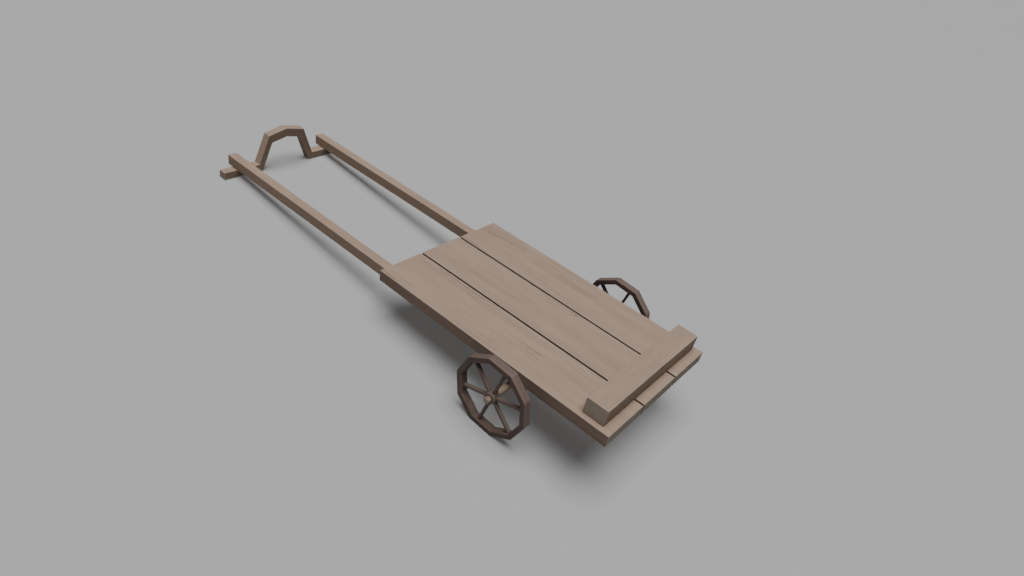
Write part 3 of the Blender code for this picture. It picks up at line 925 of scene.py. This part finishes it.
@dataclass
class Undercarriage(Assembly):
    """The shafts, the bearers between them, and the axle with its blocks and linchpins."""

    bearer_edge: float = 0.001
    arm_radius: float = 0.022
    end_play: float = 0.002
    ease: float = 0.0015
    bays: int = 24
    arm_bays: int = 4
    block_edge: float = 0.003
    bore_sides: int = 48

    def build(self) -> None:
        """Fit the shafts, the bearers, and the axle with its pins and blocks."""
        for index, side in enumerate(SIDES):
            node = f"shaft_{side}"
            shaft = SquaredTimber(self.span(node), Grain.FORWARD, Seed.SHAFT + index)
            self.joiner.fit(shaft.mesh(), f"{side}_shaft", FRAME, node)
        inner = self.span("shaft_right").high.y + SEAT_GAP
        for index, node in enumerate(BEARERS):
            span = self.span(node)
            span.low.y, span.high.y = inner, -inner
            bearer = SquaredTimber(span, Grain.ACROSS, Seed.BEARER + index, edge=self.bearer_edge)
            self.joiner.fit(bearer.mesh(), f"{node.removeprefix('bearer_')}_bearer", FRAME, node)
        self._axle()
        for side in SIDES:
            pin = self.span(f"linchpin_{side}")
            head = Vector((pin.centre.x, pin.centre.y, pin.high.z))
            peg = Peg(head, UP, pin.size.y / 2, pin.size.z, Seed.LINCHPIN)
            self.joiner.fit(peg.mesh(), f"{side}_linchpin", PEG, f"linchpin_{side}")
        for index, side in enumerate(SIDES):
            self._axle_block(side, Seed.AXLE_BLOCK + index)

    def _axle(self) -> None:
        """Fit the axle with its shouldered arms."""
        span = self.span("axle")
        shoulder = self.span("wheel_left_hub").low.y - self.end_play
        body, arm, end, ease = span.high.z, self.arm_radius, span.high.y, self.ease
        half = [(body, shoulder * part / self.bays) for part in range(self.bays)]
        half += [(body, shoulder - ease), (body - ease, shoulder), (arm, shoulder), (arm, shoulder + ease)]
        half += [(arm, shoulder + (end - shoulder) * part / self.arm_bays)
                 for part in range(1, self.arm_bays)]
        half += [(arm, end - ease), (arm - ease / 3, end - ease / 3), (arm - ease, end), (0.0, end)]
        self.joiner.fit(TurnedTimber(half, Seed.AXLE).mesh(), "axle_bar", FRAME, "axle")

    def _axle_block(self, side: str, seed: int) -> None:
        """Fit the bored block that holds the axle under one shaft.

        Args:
            side: Left or right.
            seed: Shifts its figure.
        """
        span = self.span(f"axle_block_{side}")
        bore = {"segments": self.bore_sides, "radius": self.span("axle").high.z + SEAT_GAP,
                "matrix": Matrix.Rotation(math.pi / 2, 4, "X")}
        shape = bmesh.new()
        bmesh.ops.create_circle(shape, **bore)
        outline = bmesh.ops.create_circle(shape, **bore)["verts"]

        # The second circle goes straight out to the block's outline, and its nearest points to the corners
        for vert in outline:
            reaches = [(span.high if vert.co[axis] > 0 else span.low)[axis] / vert.co[axis]
                       for axis in (0, 2) if abs(vert.co[axis]) > MERGE_DISTANCE]
            vert.co = vert.co * min(reaches)
        for x in (span.low.x, span.high.x):
            for z in (span.low.z, span.high.z):
                corner = Vector((x, 0.0, z))
                min(outline, key=lambda vert: (vert.co - corner).length).co = corner

        moved, _ = extrude(shape, bmesh.ops.bridge_loops(shape, edges=list(shape.edges))["faces"])
        bmesh.ops.translate(shape, verts=shape.verts, vec=(0, span.low.y, 0))
        bmesh.ops.translate(shape, verts=moved, vec=(0, span.size.y, 0))
        bmesh.ops.recalc_face_normals(shape, faces=shape.faces)
        round_edges(shape, span.edges_of(shape), self.block_edge)
        half = span.size.x / 2
        mark(shape, lambda point: point - span.centre, (-half, half), seed, self.block_edge)
        self.joiner.fit(shape, f"{side}_axle_block", FRAME, f"axle_block_{side}")


@dataclass
class Yoke(Assembly):
    """The bar across the shaft tips, bent up into an arch of straight runs."""

    bar: float = 0.064
    leg: float = 0.058
    crown: float = 0.079
    foot: float = 0.282
    shoulder: float = 0.182
    shoulder_rise: float = 0.258
    rise: float = 0.297

    def build(self) -> None:
        """Fit the yoke."""
        span = self.span("yoke")
        top = span.high.z - self.rise
        half = [Vector((span.high.y, top)), Vector((self.foot, top)),
                Vector((self.shoulder, top + self.shoulder_rise))]
        upper = [Vector((-point.x, point.y)) for point in half]
        upper += [Vector((0.0, top + self.rise))] + half[::-1]
        runs = [self.bar, self.leg, self.crown]
        lower = self._below(upper, runs + runs[::-1])
        middle = [(above + below) / 2 for above, below in zip(upper, lower)]
        length = sum((after - before).length for before, after in zip(middle, middle[1:]))
        bar = SweptBar(upper, lower, (span.low.x, span.high.x), lambda u, v, w: Vector((w, u, v)),
                       lambda point: self._along(point, middle), (0.0, length), Seed.YOKE)
        self.joiner.fit(bar.mesh(), "yoke_bar", YOKE, "yoke")

    def _below(self, line: list[Vector], thicknesses: list[float]) -> list[Vector]:
        """Return the line below the bar's upper line, each run moved down by its own thickness.

        Args:
            line: The upper line's points.
            thicknesses: One for each run.

        Returns:
            As many points, mitred at each bend.
        """
        runs = [after - before for before, after in zip(line, line[1:])]
        sides = [Vector((run.y, -run.x)).normalized() for run in runs]
        depths = [side.dot(point) + thick for side, point, thick in zip(sides, line, thicknesses)]
        lower = [line[0] + sides[0] * thicknesses[0]]
        for index in range(len(runs) - 1):
            crossing = Matrix((sides[index], sides[index + 1])).inverted()
            lower.append(crossing @ Vector((depths[index], depths[index + 1])))
        return lower + [line[-1] + sides[-1] * thicknesses[-1]]

    def _along(self, point: Vector, middle: list[Vector]) -> Vector:
        """Return a point's place along the bent bar and across it.

        Args:
            point: The point in level axes.
            middle: The bar's middle line, in y and z.

        Returns:
            The place in the bar's grain.
        """
        flat = Vector((point.y, point.z))
        across = point.x - self.span("yoke").low.x
        passed, best, found = 0.0, math.inf, Vector((0, 0, 0))
        for before, after in zip(middle, middle[1:]):
            run = after - before
            share = min(1.0, max(0.0, (flat - before).dot(run) / run.length_squared))
            off = flat - before - run * share
            if off.length < best:
                best = off.length
                lift = off.dot(Vector((-run.y, run.x)).normalized())
                found = Vector((passed + share * run.length, across, lift))
            passed += run.length
        return found


@dataclass(frozen=True)
class WheelPlan:
    """How a wheel is set out, with angles from forward towards up."""

    facets: int = 10
    spokes: int = 6
    felloes: int = 3
    rim_radius: float = 0.302
    rim_thickness: float = 0.040
    first_spoke: float = math.radians(39)
    spoke_width: float = 0.018
    spoke_support: float = 0.005
    spoke_seed: int = 3
    felloe_seed: int = 12
    hub_radius: float = 0.043
    hub_end_radius: float = 0.040
    hub_waist: float = 0.036
    bore_radius: float = 0.0226
    edge: float = 0.0015
    wear: Wear = Wear(face_depth=0.0003, edge_depth=0.0006, nick_depth=0.0024)
    hub_wear: Wear = Wear(face_depth=0.0002, edge_depth=0.0003, nick_depth=0.0012)

    @property
    def facet(self) -> float:
        """Return the angle of one facet of the rim."""
        return 2 * math.pi / self.facets

    @property
    def inner_radius(self) -> float:
        """Return the radius of the rim's inner corners."""
        return self.rim_radius - self.rim_thickness

    def rim_point(self, angle: float, corner_radius: float) -> Vector:
        """Return the point of a faceted line at an angle.

        Args:
            angle: The angle about the axle.
            corner_radius: The line's radius at its corners.

        Returns:
            The point, forward and up from the axle.
        """
        turn = (angle + self.facet / 2) % self.facet - self.facet / 2
        radius = corner_radius * math.cos(self.facet / 2) / math.cos(self.facet / 2 - abs(turn))
        return Vector((radius * math.cos(angle), radius * math.sin(angle)))

    def felloe_angles(self, index: int) -> list[float]:
        """Return the angles of a rim section's ends and of the corners between them.

        Args:
            index: The section's number, from nought.

        Returns:
            The angles in order.
        """
        sweep = 2 * math.pi / self.felloes
        half_joint = SEAT_GAP / 2 / self.inner_radius
        start = self.first_spoke + math.pi / self.spokes + index * sweep + half_joint
        end = start + sweep - 2 * half_joint
        corners = range(math.floor(start / self.facet) + 1, math.ceil(end / self.facet))
        return [start, *(corner * self.facet for corner in corners), end]


@dataclass
class Wheel(Assembly):
    """A wooden wheel: hub, spokes and a rim of faceted sections."""

    side: str
    seed: int
    plan: WheelPlan = WheelPlan()

    def build(self) -> None:
        """Fit the hub, the spokes and the rim sections."""
        self._fit("hub", self._hub(), PAINTED_LIGHT_SPOKE)
        for index in range(self.plan.spokes):
            self._fit(f"spoke_{index + 1}", self._spoke(index), PAINTED_LIGHT_SPOKE)
        for index in range(self.plan.felloes):
            self._fit(f"felloe_{index + 1}", self._felloe(index), WHEEL)

    def _fit(self, part: str, shape: Shape, finish: TimberFinish) -> None:
        """Fit one piece to the wheel's body.

        Args:
            part: The piece's name within the wheel.
            shape: Its mesh about the wheel's centre.
            finish: What it is made of.
        """
        body = f"wheel_{self.side}"
        hinge = next(joint for joint in frame["joints"] if joint["child"] == body)
        self.joiner.fit(shape, f"{self.side}_{part}", finish, f"{body}_{part}", body=body,
                        to_floor=Matrix.Translation(Vector(hinge["pos_m"])))

    def _half_width(self, part: str) -> float:
        """Return half of a node's width along the axle."""
        low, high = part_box(f"wheel_{self.side}_{part}")
        return (high.y - low.y) / 2

    def _hub(self) -> Shape:
        """Return the turned hub's mesh, about the wheel's centre."""
        plan, ease, half = self.plan, self.plan.edge / 2, self._half_width("hub")
        profile = [(plan.hub_radius, 0.0), (plan.hub_radius, plan.hub_waist / 2 - ease),
                   (plan.hub_radius - ease, plan.hub_waist / 2 + ease),
                   (plan.hub_end_radius + ease, half - 3 * ease), (plan.hub_end_radius, half - ease),
                   (plan.hub_end_radius - 2 * ease, half), (plan.bore_radius + ease, half),
                   (plan.bore_radius, half - ease)]
        return TurnedTimber(profile, self.seed, wear=plan.hub_wear).mesh()

    def _spoke(self, index: int) -> Shape:
        """Return one spoke's mesh, seated on the hub and on the rim's facet.

        Args:
            index: The spoke's number, from nought.

        Returns:
            The mesh about the wheel's centre.
        """
        plan, half_depth = self.plan, self._half_width(f"spoke_{index + 1}")
        angle = plan.first_spoke + index * 2 * math.pi / plan.spokes
        slant = angle - (math.floor(angle / plan.facet) * plan.facet + plan.facet / 2)
        reach = plan.inner_radius * math.cos(plan.facet / 2) / math.cos(slant)
        half_width = plan.spoke_width / 2
        span = Span(Vector((plan.hub_radius + SEAT_GAP, -half_depth, -half_width)),
                    Vector((reach - SEAT_GAP, half_depth, half_width)))
        spoke = SquaredTimber(span, Grain.FORWARD, self.seed + plan.spoke_seed + index, edge=plan.edge,
                              support=plan.spoke_support, far_slope=math.tan(slant), wear=plan.wear)
        shape = spoke.mesh()
        bmesh.ops.transform(shape, matrix=Matrix.Rotation(-angle, 4, "Y"), verts=shape.verts)
        return shape

    def _felloe(self, index: int) -> Shape:
        """Return one rim section's mesh.

        Args:
            index: The section's number, from nought.

        Returns:
            The mesh about the wheel's centre.
        """
        plan, half = self.plan, self._half_width(f"felloe_{index + 1}")
        angles = plan.felloe_angles(index)
        outer, inner = ([plan.rim_point(angle, radius) for angle in angles]
                        for radius in (plan.rim_radius, plan.inner_radius))
        middle = (plan.rim_radius + plan.inner_radius) / 2

        def place_of(point: Vector) -> Vector:
            """Return a point's place round the rim, and out and across it."""
            around = math.atan2(point.z, point.x)
            while around < angles[0] - plan.facet / 2:
                around += 2 * math.pi
            return Vector((around * middle, math.hypot(point.x, point.z) - plan.inner_radius, point.y))

        length = (angles[0] * middle, angles[-1] * middle)
        return SweptBar(outer, inner, (-half, half), lambda u, v, w: Vector((u, w, v)), place_of, length,
                        self.seed + plan.felloe_seed + index, edge=plan.edge, wear=plan.wear).mesh()


@dataclass
class Pegs(Assembly):
    """The wooden pegs that hold the timbers together, with their heads a hair proud."""

    radius: float = 0.009
    length: float = 0.030
    proud: float = 0.0006
    bearer_peg: float = 0.060
    plank_peg: float = 0.075
    block_pegs: tuple[float, ...] = (-0.490, -0.165, 0.165, 0.490)
    block_peg_reach: float = 0.052
    tenon_peg: float = 0.018

    def build(self) -> None:
        """Fit every peg as one piece."""
        joined = bmesh.new()
        for index, (head, out) in enumerate(self._heads()):
            peg = Peg(head + out * self.proud, out, self.radius, self.length, Seed.PEG + index).mesh()
            single = bpy.data.meshes.new("single_peg")
            peg.to_mesh(single)
            peg.free()
            joined.from_mesh(single)
            bpy.data.meshes.remove(single)
        self.joiner.fit(joined, "timber_pegs", PEG)

    def _heads(self) -> list[tuple[Vector, Vector]]:
        """Return each peg's head and the way that it faces."""
        plank, block, yoke = (self.span(node) for node in ("deck_plank_centre", "rear_block", "yoke"))
        shafts = [self.span(f"shaft_{side}") for side in SIDES]
        places = [self.span(bearer).centre.x for bearer in BEARERS]
        rows = (shafts[0].centre.y, self.span("deck_plank_left").low.y + self.bearer_peg,
                plank.high.y - self.plank_peg)

        # Over each bearer that the block leaves open, in the block, and in the shafts over the yoke
        above = [Vector((x, side * y, plank.high.z)) for x in places
                 if not block.low.x - self.radius < x < block.high.x + self.radius
                 for side in (-1, 1) for y in rows]
        above += [Vector((block.centre.x, y, block.high.z)) for y in self.block_pegs]
        above += [Vector((yoke.centre.x, shaft.centre.y, shaft.high.z)) for shaft in shafts]

        # Through each bearer's tenon, and in the axle blocks behind the axle and ahead of it
        below = []
        for sign, shaft in zip((1, -1), shafts):
            y = shaft.centre.y - sign * shaft.size.y / 2 + sign * self.tenon_peg
            below += [Vector((x, y, shaft.low.z)) for x in places]
        for side in SIDES:
            hold = self.span(f"axle_block_{side}")
            below += [Vector((end * self.block_peg_reach, hold.centre.y, hold.low.z)) for end in (-1, 1)]
        return [(head, UP) for head in above] + [(head, DOWN) for head in below]


@dataclass
class Studio:
    """The pale floor, the soft lights and the camera at the photo's viewing angle."""

    axes: LevelAxes
    focal_pixels: float = 695.29
    photo_width: int = 1024
    sensor_mm: float = 36.0
    stand: Triple = (-1.7431, 3.5376, 3.1488)
    heading: float = -147.332
    tilt: float = 55.284
    roll: float = 13.555
    floor_size: float = 160.0
    floor_tone: Triple = (0.345, 0.345, 0.345)
    paint_noise: Limits = (0.2, 0.8)
    paint_tones: Limits = (0.985, 1.015)
    floor_roughness: float = 0.85
    floor_specular: float = 0.2
    floor_glow: float = 0.07
    sky: float = 0.03
    backdrop: float = 0.50
    key_strength: float = 3.7
    key_spread: float = math.radians(46)
    key_from: Triple = (0.0, 0.06, 1.0)
    key_height: float = 6.0

    def build(self) -> None:
        """Set up the floor, the lights and the camera."""
        self._floor()
        self._key_light()
        self._world()
        self._camera()

    def _floor(self) -> None:
        """Lay the floor, faintly uneven in its paint and faintly lit from within to keep shadows soft."""
        paint = bpy.data.materials.new("floor_paint")
        paint.use_nodes = True
        sheet = Sheet(paint.node_tree)
        place = sheet.node("TexCoord", {}).outputs["Object"]
        tone = sheet.step(sheet.noise(place, Lumps.PAINT), *self.paint_noise, *self.paint_tones)
        sheet.feed(paint.node_tree.nodes["Principled BSDF"],
                   {"Base Color": sheet.scale(self.floor_tone, tone), "Roughness": self.floor_roughness,
                    "Specular IOR Level": self.floor_specular, "Emission Color": WHITE,
                    "Emission Strength": self.floor_glow})
        shape = bmesh.new()
        bmesh.ops.create_grid(shape, x_segments=1, y_segments=1, size=self.floor_size / 2)
        add_mesh(shape, "studio_floor", paint)

    def _key_light(self) -> None:
        """Hang a wide soft light straight overhead, a little to the cart's left."""
        data = bpy.data.lights.new("overhead_softbox", "SUN")
        data.energy = self.key_strength
        data.angle = self.key_spread
        lamp = add_object("overhead_softbox", data)
        lamp.location = Vector(self.key_from) * self.key_height
        lamp.rotation_euler = (-Vector(self.key_from)).to_track_quat("-Z", "Y").to_euler()

    def _world(self) -> None:
        """Give the room a faint even light, and a backdrop as pale as the floor behind the horizon."""
        world = bpy.data.worlds.new("studio_air")
        bpy.context.scene.world = world
        world.use_nodes = True
        sheet = Sheet(world.node_tree)
        seen = sheet.node("LightPath", {}).outputs["Is Camera Ray"]
        air = sheet.feed(world.node_tree.nodes["Background"], {"Color": WHITE, "Strength": self.sky})
        backdrop = sheet.node("Background", {"Color": WHITE, "Strength": self.backdrop})
        both = sheet.node("MixShader", {0: seen, 1: air.outputs[0], 2: backdrop.outputs[0]})
        sheet.feed(world.node_tree.nodes["World Output"], {"Surface": both.outputs[0]})

    def _camera(self) -> None:
        """Stand the camera where the photo was taken, beside and above the cart's own axes."""
        data = bpy.data.cameras.new("photo_camera")
        data.sensor_width = self.sensor_mm
        data.lens = self.focal_pixels * self.sensor_mm / self.photo_width
        camera = add_object("photo_camera", data)
        turn = (Matrix.Rotation(math.radians(self.heading), 4, "Z")
                @ Matrix.Rotation(math.radians(self.tilt), 4, "X")
                @ Matrix.Rotation(math.radians(self.roll), 4, "Z"))
        camera.matrix_world = self.axes.to_floor @ Matrix.Translation(Vector(self.stand)) @ turn
        bpy.context.scene.camera = camera


def main() -> None:
    """Build the cart's pieces in order, then the studio."""
    logging.basicConfig(level=logging.INFO, format="%(name)s: %(message)s")
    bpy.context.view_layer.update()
    axes = LevelAxes.of_record(frame["record"])
    joiner = Joiner(axes, [PLANK, BLOCK, FRAME, YOKE, WHEEL, PAINTED_LIGHT_SPOKE, PEG])
    Deck(joiner).build()
    Undercarriage(joiner).build()
    Yoke(joiner).build()
    for side, seed in zip(SIDES, (Seed.LEFT_WHEEL, Seed.RIGHT_WHEEL)):
        Wheel(joiner, side, seed).build()
    Pegs(joiner).build()
    Studio(axes).build()


if __name__ == "__main__":
    main()
